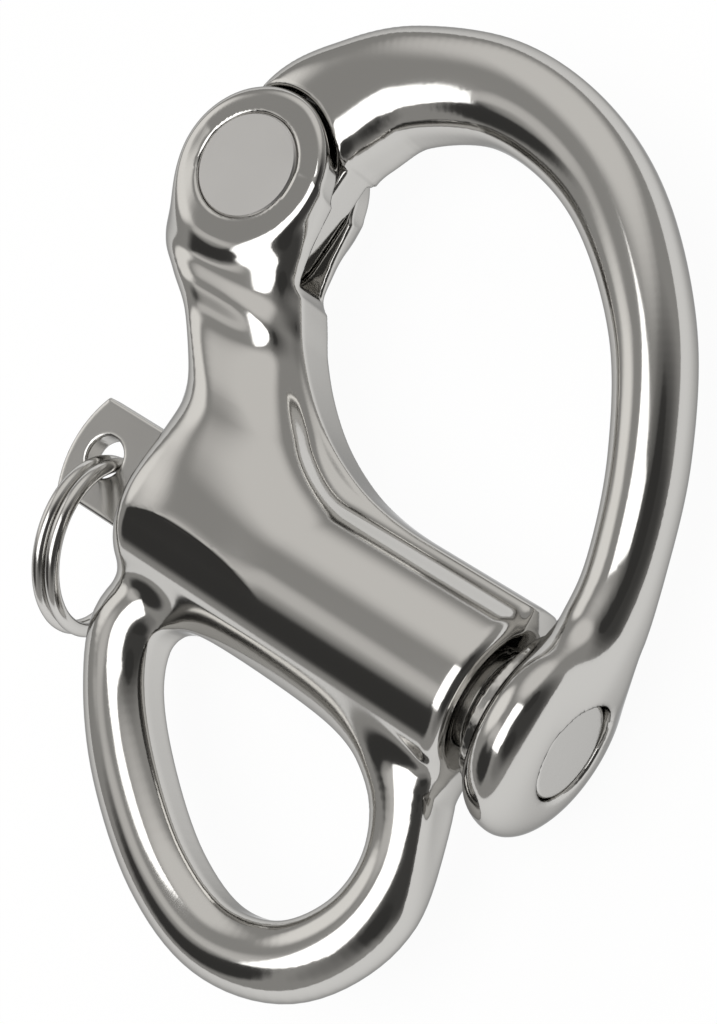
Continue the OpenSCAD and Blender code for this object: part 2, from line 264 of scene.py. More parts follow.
@dataclass(frozen=True)
class HookSizes:
    """Sizes shared by the hook's pieces, in millimetres, in the row frame."""

    barrel_y: float = 13.0
    barrel_r: float = 6.7
    barrel_left: float = -18.4
    barrel_mouth: float = 13.3
    barrel_round: float = 2.2
    mouth_round: float = 1.5
    end_wall: float = 3.2
    pivot_x: float = -23.7
    pivot_y: float = 36.7
    ear_r: float = 6.4
    fork_half: float = 4.6
    slot_half: float = 1.9
    slot_floor: float = 31.05
    shoulder_r: float = 6.6
    tongue_r: float = 5.4
    tongue_half: float = 1.75
    bore_r: float = 3.73
    plunger_r: float = 3.65
    stem_r: float = 2.2
    rivet_r: float = 3.0
    rivet_head_r: float = 4.05
    rivet_head_t: float = 1.2
    rivet_proud: float = 0.12
    boss_left: float = 14.0
    boss_right: float = 19.4
    boss_r: float = 7.4
    boss_near: float = 2.4
    boss_far: float = 2.1
    boss_land: float = 0.2
    collar_r: float = 5.4
    collar_l: float = 0.9
    mill_gap: float = 0.4
    mill_slope: float = 22.0
    tab_gap: float = 0.25
    plunger_face: float = 19.2
    plunger_step: float = 2.6
    tab_half: float = 1.0
    tab_w: float = 8.0
    tab_l: float = 9.0
    tab_curve: float = 9.0
    tab_hole_x: float = -24.2
    tab_hole_r: float = 1.6
    web_half: float = 2.0

    def from_barrel(self, y: Array, z: Array) -> Array:
        """Distance from the barrel's axis."""
        return np.sqrt((y - self.barrel_y) ** 2 + z ** 2)

    def from_pivot(self, x: Array, y: Array) -> Array:
        """Distance from the pivot's axis."""
        return np.sqrt((x - self.pivot_x) ** 2 + (y - self.pivot_y) ** 2)


SIZES = HookSizes()


# ---------------------------------------------------------------- meshing


@dataclass
class Forging:
    """A solid given by a distance function, meshed on a fine grid and pulled onto its surface."""

    name: str
    shape: Shape
    low: Triple
    high: Triple
    voxel: float = 0.22
    passes: int = 2
    largest_move: float = 0.6
    least_slope: float = 0.05
    step: float = 0.02

    def grid(self) -> tuple[list[Array], Array]:
        """Evaluates the distance on the grid.

        Returns:
            The coordinates along each axis, and the distances.
        """
        axes = [np.arange(a, b + self.voxel, self.voxel) for a, b in zip(self.low, self.high)]
        x, y = np.meshgrid(axes[0], axes[1], indexing="ij")
        values = self.shape(x[:, :, None], y[:, :, None], axes[2][None, None, :])
        return axes, np.ascontiguousarray(values, dtype=np.float32)

    def slope(self, points: Array) -> Array:
        """The distance's gradient.

        Args:
            points: one line of x, y and z per point.

        Returns:
            One line per point.
        """
        gradient = np.empty_like(points)
        for axis in range(3):
            move = np.zeros(3)
            move[axis] = self.step
            difference = self.shape(*(points + move).T) - self.shape(*(points - move).T)
            gradient[:, axis] = difference / (2 * self.step)
        return gradient

    def settle(self, points: Array) -> Array:
        """Moves points onto the surface along the gradient.

        Args:
            points: one line per point, within about a voxel of the surface.

        Returns:
            The moved points.
        """
        for _ in range(self.passes):
            gradient = self.slope(points)
            size = np.maximum((gradient ** 2).sum(1), self.least_slope)
            move = gradient * (self.shape(*points.T) / size)[:, None]
            length = np.maximum(np.linalg.norm(move, axis=1), 1e-9)
            points = points - move * np.minimum(1.0, self.largest_move * self.voxel / length)[:, None]
        return points

    def build(self) -> bpy.types.Object:
        """Makes the mesh object.

        Returns:
            The object, in metres, smooth shaded.
        """
        axes, values = self.grid()
        volume = openvdb.FloatGrid(REACH)
        volume.copyFromArray(np.clip(values, -REACH, REACH))
        corners, quads = volume.convertToQuads(isovalue=0.0)
        corners = np.asarray(corners, dtype=float) * self.voxel + np.array([a[0] for a in axes])
        points = self.settle(corners)
        quads = np.asarray(quads, dtype=np.int64)
        face = points[quads]
        normal = np.cross(face[:, 2] - face[:, 0], face[:, 3] - face[:, 1])
        if (normal * self.slope(points)[quads[:, 0]]).sum() < 0:
            quads = quads[:, ::-1]
        mesh = bpy.data.meshes.new(self.name)
        mesh.vertices.add(len(points))
        mesh.vertices.foreach_set("co", (points * MM).astype(np.float32).ravel())
        mesh.loops.add(quads.size)
        mesh.loops.foreach_set("vertex_index", quads.astype(np.int32).ravel())
        mesh.polygons.add(len(quads))
        mesh.polygons.foreach_set("loop_start", np.arange(0, quads.size, 4, dtype=np.int32))
        mesh.polygons.foreach_set("use_smooth", np.ones(len(quads), dtype=bool))
        mesh.update(calc_edges=True)
        mesh.validate()
        obj = bpy.data.objects.new(self.name, mesh)
        bpy.context.scene.collection.objects.link(obj)
        log.info("%s: %d vertices, %d quads", self.name, len(points), len(quads))
        return obj


def ringed(name: str, rings: Array, sharp: float, place: Optional[Matrix] = None) -> bpy.types.Object:
    """Skins a row of rings of points and closes both ends flat.

    Args:
        name: of the object.
        rings: points in metres, by ring, place on the ring and coordinate.
        sharp: edges above this angle, in degrees, stay sharp.
        place: moves the mesh.

    Returns:
        The object, smooth shaded.
    """
    count, sides = rings.shape[:2]
    faces: list[tuple[int, ...]] = []
    for low in range(0, (count - 1) * sides, sides):
        for k in range(sides):
            n = (k + 1) % sides
            faces.append((low + k, low + n, low + sides + n, low + sides + k))
    faces.append(tuple(range(sides - 1, -1, -1)))
    faces.append(tuple((count - 1) * sides + k for k in range(sides)))
    mesh = bpy.data.meshes.new(name)
    mesh.from_pydata([tuple(point) for point in rings.reshape(-1, 3)], [], faces)
    if place is not None:
        mesh.transform(place)
    mesh.update()
    mesh.polygons.foreach_set("use_smooth", np.ones(len(faces), dtype=bool))
    obj = bpy.data.objects.new(name, mesh)
    bpy.context.scene.collection.objects.link(obj)
    mesh.set_sharp_from_angle(angle=math.radians(sharp))
    return obj


def lathe(name: str, outline: Rows, place: Matrix, turns: int = 96) -> bpy.types.Object:
    """Turns an outline about its own Z and places it.

    Args:
        name: of the object.
        outline: radius and height, in millimetres.
        place: where the turned piece goes.
        turns: facets round it.

    Returns:
        The object.
    """
    angle = 2 * np.pi * np.arange(turns) / turns
    rings = [np.stack([r * np.cos(angle), r * np.sin(angle), np.full(turns, h)], axis=1) for r, h in outline]
    return ringed(name, np.array(rings) * MM, 30.0, place)


def tube(name: str, path: Array, normals: Array, radius: float, sides: int = 16) -> bpy.types.Object:
    """Lays round wire along a path.

    Args:
        name: of the object.
        path: its middle line, in millimetres.
        normals: a direction across the wire for each point of the path.
        radius: of the wire.
        sides: facets round it.

    Returns:
        The object.
    """
    tangent = np.gradient(path, axis=0)
    tangent /= np.linalg.norm(tangent, axis=1)[:, None]
    normals = normals - tangent * (normals * tangent).sum(1)[:, None]
    normals /= np.linalg.norm(normals, axis=1)[:, None]
    other = np.cross(tangent, normals)
    angle = np.linspace(0, 2 * math.pi, sides, endpoint=False)[None, :, None]
    around = normals[:, None, :] * np.cos(angle) + other[:, None, :] * np.sin(angle)
    return ringed(name, (path[:, None, :] + around * radius) * MM, 40.0)


# ---------------------------------------------------------------- shader tools


Value = Union["Signal", float]
Source = Union["Signal", bpy.types.NodeSocket]


class Signal:
    """A node output that can be added, multiplied and so on."""

    def __init__(self, graph: "Graph", socket: bpy.types.NodeSocket) -> None:
        """Keeps the graph and the socket."""
        self.graph = graph
        self.socket = socket

    def __add__(self, other: Value) -> "Signal":
        """The sum."""
        return self.graph.math("ADD", self, other)

    def __mul__(self, other: Value) -> "Signal":
        """The product."""
        return self.graph.math("MULTIPLY", self, other)

    def high(self, other: Value) -> "Signal":
        """The larger of two."""
        return self.graph.math("MAXIMUM", self, other)

    def ramp(self, start: float, end: float) -> "Signal":
        """0 below start and 1 above end, smooth between."""
        node = self.graph.node("ShaderNodeMapRange", {"interpolation_type": "SMOOTHSTEP"},
                               {"Value": self, "From Min": start, "From Max": end})
        return Signal(self.graph, node.outputs["Result"])


class Graph:
    """Builds one material's or world's node tree."""

    def __init__(self, tree: bpy.types.NodeTree) -> None:
        """Starts from an empty tree."""
        self.tree = tree
        tree.nodes.clear()

    def node(self, kind: str, settings: Optional[dict[str, object]] = None,
             values: Optional[dict[Union[str, int], object]] = None) -> bpy.types.Node:
        """Adds a node.

        Args:
            kind: its type name.
            settings: properties of the node.
            values: what its inputs are, by name or number: a Signal, a socket or a constant.

        Returns:
            The node.
        """
        node = self.tree.nodes.new(kind)
        for name, value in (settings or {}).items():
            setattr(node, name, value)
        for key, value in (values or {}).items():
            target = node.inputs[key]
            if isinstance(value, Signal):
                self.tree.links.new(value.socket, target)
            elif isinstance(value, bpy.types.NodeSocket):
                self.tree.links.new(value, target)
            else:
                target.default_value = value
        return node

    def math(self, operation: str, *terms: Value) -> Signal:
        """One Math node."""
        node = self.node("ShaderNodeMath", {"operation": operation}, dict(enumerate(terms)))
        return Signal(self, node.outputs[0])

    def noise(self, vector: Source, scale: float, detail: float) -> Signal:
        """Noise of about 0 to 1."""
        node = self.node("ShaderNodeTexNoise", {"noise_dimensions": "3D"},
                         {"Vector": vector, "Scale": scale, "Detail": detail, "Roughness": 0.5})
        return Signal(self, node.outputs["Fac"])

    def stretched(self, vector: Source, scale: Triple, turn: float) -> bpy.types.NodeSocket:
        """The vector turned about Z and scaled on each axis."""
        node = self.node("ShaderNodeMapping", {"vector_type": "POINT"},
                         {"Vector": vector, "Rotation": (0.0, 0.0, turn), "Scale": scale})
        return node.outputs["Vector"]

    def bump(self, height: Signal, depth: float,
             under: Optional[bpy.types.NodeSocket] = None) -> bpy.types.NodeSocket:
        """Bumps the surface.

        Args:
            height: how high it is, for a full depth of 1.
            depth: in metres.
            under: a normal that is bumped already.

        Returns:
            The normal.
        """
        values: dict[Union[str, int], object] = {"Strength": 1.0, "Distance": depth, "Height": height}
        if under is not None:
            values["Normal"] = under
        return self.node("ShaderNodeBump", None, values).outputs["Normal"]

    def surface(self, shader: bpy.types.NodeSocket) -> None:
        """Sends the shader to the output."""
        self.node("ShaderNodeOutputMaterial", None, {"Surface": shader})


# ---------------------------------------------------------------- finishes


class Slot(Enum):
    """Material slots of the record."""

    HOOK = "hook_steel"
    RIVET = "rivet_steel"
    PLUNGER = "plunger_steel"
    SPRING = "spring_steel"
    RING = "ring_steel"


@dataclass(frozen=True)
class Steel:
    """Stainless steel, polished or ground. Lengths are in metres."""

    name: str
    colour: Colour
    roughness: float
    mottling: float = 0.03
    mottling_scale: float = 170.0
    waviness: float = 0.000006
    wave_scale: float = 230.0
    grain: float = 0.0000008
    grain_scale: Triple = (9000.0, 500.0, 3000.0)
    grain_turn: float = 0.6
    edge: Colour = (0.4, 0.4, 0.4, 1.0)

    def material(self) -> bpy.types.Material:
        """Makes an even metal with soft polishing waves and fine scratches.

        Returns:
            The material.
        """
        made = bpy.data.materials.new(self.name)
        made.use_nodes = True
        graph = Graph(made.node_tree)
        vector = graph.node("ShaderNodeTexCoord").outputs["Object"]
        cloud = graph.noise(vector, self.mottling_scale, 3.0)
        wave = graph.noise(vector, self.wave_scale, 1.0)
        lines = graph.noise(graph.stretched(vector, self.grain_scale, self.grain_turn), 1.0, 2.0)
        normal = graph.bump(wave, self.waviness)
        normal = graph.bump(lines, self.grain, normal)
        rough = cloud * (2.0 * self.mottling) + (self.roughness - self.mottling)
        shader = graph.node("ShaderNodeBsdfPrincipled", None,
                            {"Base Color": self.colour, "Metallic": 1.0, "Roughness": rough,
                             "Normal": normal, "Specular Tint": self.edge})
        graph.surface(shader.outputs["BSDF"])
        return made


class Finishes:
    """The finishes in use, made once."""

    def __init__(self) -> None:
        """Makes the materials."""
        self.forged = Steel("forged_polish", (0.565, 0.555, 0.535, 1.0), 0.1).material()
        self.pin = Steel("pin_polish", (0.63, 0.62, 0.60, 1.0), 0.18, grain=0.0000015).material()
        self.rivet = Steel("rivet_satin", (0.68, 0.67, 0.655, 1.0), 0.34, waviness=0.000003,
                           grain=0.000002).material()
        self.wire = Steel("ring_polish", (0.60, 0.59, 0.57, 1.0), 0.16).material()
        self.spring = Steel("spring_drawn", (0.42, 0.41, 0.40, 1.0), 0.3).material()


def wear(obj: bpy.types.Object, material: bpy.types.Material) -> None:
    """Gives the piece its only material.

    Args:
        obj: the piece.
        material: its finish.
    """
    obj.data.materials.clear()
    obj.data.materials.append(material)


# ---------------------------------------------------------------- pieces


@dataclass
class HookBody:
    """The body: barrel, fixed eye, arm, fork and web in one forging."""

    size: HookSizes = SIZES
    eye_bar: float = 2.9
    eye_flat: float = 0.35
    eye_edge: float = 0.25
    eye_fillet: float = 1.6
    arm_ridge: float = 0.38
    arm_bands: tuple[float, float] = (0.4, 1.6)
    arm_edge: float = 0.3
    arm_fillet: float = 2.4
    draft: float = 0.09
    draft_low: float = 24.0
    draft_rise: float = 7.0
    ear_rims: tuple[float, float] = (0.7, 1.2)
    rim_start: float = 2.0
    rim_run: float = 5.0
    ear_swell: float = 0.1
    ear_draft: float = 0.1
    ear_fillet: float = 1.6
    web_r: float = 22.0
    web_end: float = 3.1
    web_rise: float = 0.1
    web_below_slot: float = 1.0
    web_edge: float = 0.4
    web_fillet: float = 1.5
    mouth_edge: float = 0.9
    slot_edge: float = 0.3
    seat_edge: float = 0.25
    stem_gap: float = 0.08
    bore_reach: float = 21.0
    bore_edge: float = 0.15
    eye: Spine = field(init=False)
    arm_height: Array = field(init=False)
    arm_rows: Array = field(init=False)

    def __post_init__(self) -> None:
        """Samples the eye's ring and the arm's sections."""
        # x, y and what the bar's radius has beyond eye_bar.
        self.eye = Spine([
            (-7.46, 8.95, 0.02), (-12.85, 7.47, 0.2), (-15.05, 4.1, 0.32), (-13.4, -0.22, 0.04),
            (-8.94, -4.97, 0.08), (-2.56, -9.29, 0.03), (3.69, -10.99, 0.0), (9.28, -9.21, 0.05),
            (12.59, -4.46, -0.03), (12.71, 1.06, -0.06), (9.99, 6.15, 0.46), (3.59, 8.94, 0.42)],
            closed=True, steps=8)
        s = self.size
        left, right = s.pivot_x - s.ear_r, s.pivot_x + s.ear_r
        x, y = s.barrel_left, s.barrel_y + 13.2
        # Height, outer edge, inner edge, half thickness, and fullness on the outer and inner side.
        rows = catmull([
            (s.barrel_y, x + 0.8, x + 16.0, 6.1, 2.3, 2.3),
            (s.barrel_y + 4.4, x - 0.8, x + 14.6, 6.0, 2.3, 2.4),
            (y - 4.8, x - 2.1, x + 10.3, 5.4, 2.3, 3.2),
            (y - 0.9, x - 5.15, x + 6.1, 4.2, 3.3, 3.6),
            (y + 1.3, x - 8.15, x + 4.2, 4.55, 2.6, 3.6),
            (y + 2.9, x - 10.45, x + 3.4, 4.22, 2.3, 3.6),
            (y + 4.9, left + 0.4, right + 1.05, 4.5, 2.4, 3.6),
            (s.pivot_y - 3.0, left + 0.25, right + 0.4, 4.35, 2.6, 5.0),
            (s.pivot_y, left + 0.7, right - 0.2, 4.1, 2.7, 6.0)], 10)
        self.arm_height = rows[:, 0]
        self.arm_rows = rows[:, 1:]

    def eye_ring(self, x: Array, y: Array, z: Array) -> Array:
        """The eye's round bar with a flat trimmed on its inside.

        Args:
            x: the points' coordinate along the barrel, in millimetres.
            y: along the load line.
            z: along the thickness.

        Returns:
            Distances to it.
        """
        across, (extra,) = self.eye.near(x, y)
        radius = self.eye_bar + extra
        bar = np.sqrt(across ** 2 + z ** 2) - radius
        return Blend.meet(bar, -across - (radius - self.eye_flat), self.eye_edge)

    def arm(self, x: Array, y: Array, z: Array) -> Array:
        """The arm from the barrel to the pivot, trimmed flat along both edges.

        Args:
            x: the points' coordinate along the barrel, in millimetres.
            y: along the load line.
            z: along the thickness.

        Returns:
            Distances to it.
        """
        s = self.size
        left, right, half, outer, inner = (np.interp(y, self.arm_height, column)
                                           for column in self.arm_rows.T)
        middle = (self.arm_rows[:, 0] + self.arm_rows[:, 1]) / 2
        slope = np.interp(y, self.arm_height, np.gradient(middle, self.arm_height))
        lean = 1.0 / np.sqrt(1.0 + slope ** 2)
        right = right + self.draft * z * np.clip((y - self.draft_low) / self.draft_rise, 0.0, 1.0)
        ridge = left + self.arm_ridge * (right - left)
        inside = x > ridge
        width = np.where(inside, right - ridge, ridge - left)
        fullness = np.where(inside, inner, outer)
        wide = widened(width, half, fullness, np.where(inside, self.arm_bands[1], self.arm_bands[0]))
        solid = oval(x - ridge, z, wide, half, fullness) * lean
        solid = Blend.meet(solid, (np.abs(x - ridge) - width) * lean, self.arm_edge)
        return np.maximum(np.maximum(solid, y - s.pivot_y), s.barrel_y - y)

    def ear(self, x: Array, y: Array, z: Array) -> Array:
        """The fork's ear: a plate with a soft rim, softer on the outer side.

        Args:
            x: the points' coordinate along the barrel, in millimetres.
            y: along the load line.
            z: along the thickness.

        Returns:
            Distances to it, before the fork's slot is cut.
        """
        s = self.size
        inward = (x - s.pivot_x) / s.ear_r
        low, high = self.ear_rims
        rim = low + (high - low) * np.clip((s.pivot_x + self.rim_start - x) / self.rim_run, 0.0, 1.0)
        radius = s.ear_r + self.ear_swell * np.clip(-inward, 0.0, 1.0)
        radius = radius - self.ear_draft * (s.fork_half - z) * np.clip(inward, 0.0, 1.0)
        across, rise = s.from_pivot(x, y) - radius + rim, np.abs(z) - s.fork_half + rim
        corner = np.sqrt(np.maximum(across, 0.0) ** 2 + np.maximum(rise, 0.0) ** 2)
        return corner + np.minimum(np.maximum(across, rise), 0.0) - rim

    def web(self, x: Array, y: Array, z: Array) -> Array:
        """The thin wall in the corner of arm and barrel, with a hollow outer edge.

        Args:
            x: the points' coordinate along the barrel, in millimetres.
            y: along the load line.
            z: along the thickness.

        Returns:
            Distances to it.
        """
        s = self.size
        top = s.barrel_y + s.barrel_r + self.web_rise
        side = self.web_end - self.web_r
        over = np.sqrt((x - self.web_end) ** 2 + (y - top - self.web_r) ** 2)
        edge = np.where((x > side) & (y > top) & (x < self.web_end), self.web_r - over, -1.0)
        edge = np.where((x >= self.web_end) | (y <= top), y - top, edge)
        solid = Blend.meet(edge, np.abs(z) - s.web_half, self.web_edge)
        for limit in (x - s.barrel_mouth + s.mouth_round / 2, side - x, s.barrel_y - y,
                      y - s.slot_floor + self.web_below_slot):
            solid = np.maximum(solid, limit)
        return solid

    def barrel(self, x: Array, y: Array, z: Array) -> Array:
        """The barrel with rounded ends, before it is bored.

        Args:
            x: the points' coordinate along the barrel, in millimetres.
            y: along the load line.
            z: along the thickness.

        Returns:
            Distances to it.
        """
        s = self.size
        along = x - (s.barrel_left + s.barrel_mouth) / 2
        half = (s.barrel_mouth - s.barrel_left) / 2
        rounding = np.where(along < 0, s.barrel_round, s.mouth_round)
        return rounded_box(along, s.from_barrel(y, z), half, s.barrel_r, rounding)

    def machined(self, solid: Array, x: Array, y: Array, z: Array) -> Array:
        """Mills the mouth, the tab's relief and the fork's slot, and bores pivot and barrel.

        Args:
            solid: distances to the forging.
            x: the points' coordinate along the barrel, in millimetres.
            y: along the load line.
            z: along the thickness.

        Returns:
            Distances to the finished body.
        """
        s = self.size
        around = s.from_barrel(y, z)
        slope = math.radians(s.mill_slope)
        face = s.barrel_mouth + np.maximum(0.0, around - s.boss_r - s.mill_gap) * math.tan(slope)
        solid = Blend.meet(solid, (x - face) * math.cos(slope), self.mouth_edge)
        relief = np.maximum(np.abs(y - s.barrel_y) - s.tab_w / 2, np.abs(z) - s.tab_half) - s.tab_gap
        solid = Blend.cut(solid, np.maximum(relief, x - s.barrel_left))
        slot = np.maximum(np.abs(z) - s.slot_half, s.slot_floor - y)
        solid = Blend.cut(solid, slot, self.slot_edge)
        radius = s.from_pivot(x, y)
        seat = np.maximum(radius - s.rivet_head_r, s.fork_half - s.rivet_head_t - np.abs(z))
        solid = Blend.cut(solid, np.minimum(seat, radius - s.rivet_r), self.seat_edge)
        bore = np.maximum(around - s.bore_r, s.barrel_left + s.end_wall - x)
        bore = np.minimum(bore, around - s.stem_r - self.stem_gap)
        bore = np.maximum(bore, np.abs(x) - self.bore_reach)
        return Blend.cut(solid, bore, self.bore_edge)

    def shape(self, x: Array, y: Array, z: Array) -> Array:
        """The whole body.

        Args:
            x: the points' coordinate along the barrel, in millimetres.
            y: along the load line.
            z: along the thickness.

        Returns:
            Distances to it.
        """
        arm = Blend.union(self.arm(x, y, z), self.ear(x, y, z), self.ear_fillet)
        solid = Blend.union(self.barrel(x, y, z), self.eye_ring(x, y, z), self.eye_fillet)
        solid = Blend.union(solid, arm, self.arm_fillet)
        solid = Blend.union(solid, self.web(x, y, z), self.web_fillet)
        return self.machined(solid, x, y, z)

    def build(self) -> bpy.types.Object:
        """Meshes the body.

        Returns:
            The piece, standing in for its solid.
        """
        obj = Forging("body_forging", self.shape, (-31.5, -15.5, -7.6), (18.5, 44.5, 7.6)).build()
        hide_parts("body")
        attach(obj, "body")
        return obj

    def dress(self, finishes: Finishes) -> None:
        """Builds the body and polishes it."""
        wear(self.build(), finishes.forged)


@dataclass
class Bail:
    """The bail: tongue, shouldered root, crown, flank and boss in one forging."""

    size: HookSizes = SIZES
    band_from: float = 2.6
    band_least: float = 0.3
    band_most: float = 0.8
    edge: float = 0.3
    boss_fillet: float = 1.6
    shoulder_drop: float = 0.2
    shoulder_reach: float = 5.6
    shoulder_edge: float = 0.35
    pivot_gap: float = 0.06
    bore_from: float = 11.0
    bore_edge: float = 0.2
    spine: Spine = field(init=False)
    boss_outline: list[tuple[float, float]] = field(init=False)

    def __post_init__(self) -> None:
        """Samples the sweep and the boss's outline."""
        s = self.size
        x, y = s.pivot_x, s.pivot_y
        # x, y, half the width in the hook's plane, half the thickness, and fullness.
        self.spine = Spine([
            (x + 1.2, y - 3.3, 4.3, 4.0, 3.6), (x + 1.2, y + 1.4, 4.7, 4.0, 3.6),
            (x + 1.14, y + 4.75, 5.39, 4.0, 3.4), (x + 2.91, y + 7.77, 4.98, 4.0, 3.0),
            (x + 6.44, y + 11.13, 4.31, 3.85, 2.6), (x + 12.98, y + 13.37, 3.84, 3.5, 2.2),
            (x + 19.89, y + 12.56, 3.56, 3.3, 2.0), (x + 26.33, y + 9.32, 3.27, 3.15, 2.0),
            (8.99, 39.82, 2.97, 3.0, 2.0), (13.33, 32.47, 2.79, 2.85, 2.0),
            (15.84, 25.53, 2.66, 2.75, 2.0), (16.82, 20.39, 2.74, 3.55, 2.0),
            (16.85, 15.1, 2.7, 4.4, 2.2)])
        near, far, rim = s.collar_r, s.bore_r + s.boss_land, s.boss_left + s.collar_l
        arc = [(math.sin(a), 1 - math.cos(a)) for a in (math.radians(6 * k) for k in range(16))]
        outline = [(s.boss_left, -1.0), (s.boss_left, near)]
        outline += [(rim + s.boss_near * back, near + (s.boss_r - near) * up) for up, back in arc]
        outline += [(s.boss_right - s.boss_far * back, far + (s.boss_r - far) * up)
                    for up, back in reversed(arc[:-1])]
        outline.append((s.boss_right, -1.0))
        self.boss_outline = outline

    def boss(self, x: Array, y: Array, z: Array) -> Array:
        """The crowned boss round the plunger's end.

        Args:
            x: the points' coordinate along the barrel, in millimetres.
            y: along the load line.
            z: along the thickness.

        Returns:
            Distances to it, before it is bored.
        """
        s = self.size
        radius = s.from_barrel(y, z)
        along = np.broadcast_to(x, radius.shape)
        out = np.maximum(radius - s.boss_r, np.maximum(s.boss_left - along, along - s.boss_right))
        close = out < REACH
        out[close] = profile(along[close], radius[close], self.boss_outline)
        return out

    def shape(self, x: Array, y: Array, z: Array) -> Array:
        """The whole bail.

        Args:
            x: the points' coordinate along the barrel, in millimetres.
            y: along the load line.
            z: along the thickness.

        Returns:
            Distances to it.
        """
        s = self.size
        across, (high, half, fullness) = self.spine.near(x, y)
        band = np.clip(half - self.band_from, self.band_least, self.band_most)
        solid = oval(across, z, widened(high, half, fullness, band), half, fullness)
        solid = Blend.meet(solid, np.abs(across) - high, self.edge)
        solid = Blend.union(solid, self.boss(x, y, z), self.boss_fillet)
        radius = s.from_pivot(x, y)
        below = np.maximum(y - s.pivot_y + self.shoulder_drop, x - self.shoulder_reach)
        clear = np.maximum(np.minimum(radius - s.shoulder_r, below), s.tongue_half - np.abs(z))
        solid = Blend.cut(solid, clear, self.shoulder_edge)
        solid = np.minimum(solid, np.maximum(radius - s.tongue_r, np.abs(z) - s.tongue_half))
        solid = Blend.cut(solid, radius - s.rivet_r - self.pivot_gap)
        bore = np.maximum(s.from_barrel(y, z) - s.bore_r, self.bore_from - x)
        return Blend.cut(solid, bore, self.bore_edge)

    def build(self) -> bpy.types.Object:
        """Meshes the bail.

        Returns:
            The piece, standing in for its solid.
        """
        obj = Forging("bail_forging", self.shape, (-30.5, 4.5, -7.6), (21.0, 54.5, 7.6)).build()
        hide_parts("bail")
        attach(obj, "bail")
        return obj

    def dress(self, finishes: Finishes) -> None:
        """Builds the bail and polishes it."""
        wear(self.build(), finishes.forged)


@dataclass
class Plunger:
    """The locking pin with its stem and its flattened, drilled end."""

    size: HookSizes = SIZES
    head_round: float = 0.3
    stem_ends: tuple[float, float] = (-20.5, 3.5)
    tab_sunk: float = 0.1
    tab_edge: float = 0.35
    hole_edge: float = 0.25
    fillet: float = 0.3

    def shape(self, x: Array, y: Array, z: Array) -> Array:
        """The whole pin.

        Args:
            x: the points' coordinate along the barrel, in millimetres.
            y: along the load line.
            z: along the thickness.

        Returns:
            Distances to it.
        """
        s = self.size
        radius = s.from_barrel(y, z)
        middle, half = (s.plunger_step + s.plunger_face) / 2, (s.plunger_face - s.plunger_step) / 2
        head = rounded_box(x - middle, radius, half, s.plunger_r, self.head_round)
        stem = np.maximum(radius - s.stem_r, np.maximum(self.stem_ends[0] - x, x - self.stem_ends[1]))
        root = s.barrel_left - self.tab_sunk
        across = y - s.barrel_y
        flat = np.sqrt((x - root + s.tab_l - s.tab_curve) ** 2 + across ** 2) - s.tab_curve
        flat = np.maximum(np.maximum(flat, np.abs(across) - s.tab_w / 2), x - root)
        tab = Blend.meet(flat, np.abs(z) - s.tab_half, self.tab_edge)
        hole = np.sqrt((x - s.tab_hole_x) ** 2 + across ** 2) - s.tab_hole_r
        tab = Blend.cut(tab, hole, self.hole_edge)
        return Blend.union(np.minimum(head, stem), tab, self.fillet)

    def build(self) -> bpy.types.Object:
        """Meshes the pin.

        Returns:
            The piece, standing in for its solid.
        """
        obj = Forging("plunger_pin", self.shape, (-28.5, 8.3, -4.2), (20.0, 17.7, 4.2), 0.16).build()
        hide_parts("plunger")
        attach(obj, "plunger")
        return obj

    def dress(self, finishes: Finishes) -> None:
        """Builds the pin and polishes it."""
        wear(self.build(), finishes.pin)


@dataclass
class Rivet:
    """The pivot rivet with flush heads and a turned edge."""

    size: HookSizes = SIZES
    edge: float = 0.16
    corner: float = 0.04

    def build(self) -> bpy.types.Object:
        """Turns the rivet.

        Returns:
            The piece, standing in for its solid.
        """
        s = self.size
        top, seat = s.fork_half + s.rivet_proud, s.fork_half - s.rivet_head_t
        half = [(s.rivet_head_r - self.edge, top), (s.rivet_head_r - self.corner, top - self.edge * 0.7),
                (s.rivet_head_r, top - self.edge * 1.6), (s.rivet_head_r, seat), (s.rivet_r, seat)]
        outline = [(r, -h) for r, h in half] + [(r, h) for r, h in reversed(half)]
        place = Matrix.Translation(Vector((s.pivot_x, s.pivot_y, 0.0)) * MM)
        obj = lathe("rivet", outline, place)
        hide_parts("pivot_rivet")
        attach(obj, "body")
        return obj

    def dress(self, finishes: Finishes) -> None:
        """Builds the rivet with its satin heads."""
        wear(self.build(), finishes.rivet)


@dataclass
class PullRing:
    """The split ring: wire wound twice through the tab's hole."""

    size: HookSizes = SIZES
    outer: float = 13.8
    wire: float = 1.1
    pitch: float = 1.15
    sag: float = 0.2
    lean: float = 16.5
    roll: float = 14.0
    turns: int = 2
    facets: int = 96

    def build(self) -> bpy.types.Object:
        """Winds the ring.

        Returns:
            The piece, standing in for its solid.
        """
        lean, roll = math.radians(self.lean), math.radians(self.roll)
        hang = np.array([math.sin(lean) * math.cos(roll), -math.cos(lean) * math.cos(roll), -math.sin(roll)])
        side = np.array([math.cos(lean), math.sin(lean), 0.0])
        third = np.cross(hang, side)
        radius = (self.outer - self.wire) / 2
        centre = np.array([self.size.tab_hole_x, self.size.barrel_y, 0.0]) + hang * (self.sag + radius)
        step = np.linspace(0.0, 1.0, self.facets * self.turns + 1)
        angle = 2 * math.pi * self.turns * step - math.pi / 2
        ring = hang * np.cos(angle)[:, None] + third * np.sin(angle)[:, None]
        shift = self.pitch * self.turns * (step - 0.5)
        path = centre + ring * radius + side * shift[:, None]
        obj = tube("split_ring_wire", path, ring, self.wire / 2)
        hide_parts("split_ring")
        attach(obj, "ring")
        return obj

    def dress(self, finishes: Finishes) -> None:
        """Builds the ring and polishes it."""
        wear(self.build(), finishes.wire)


# ---------------------------------------------------------------- stage


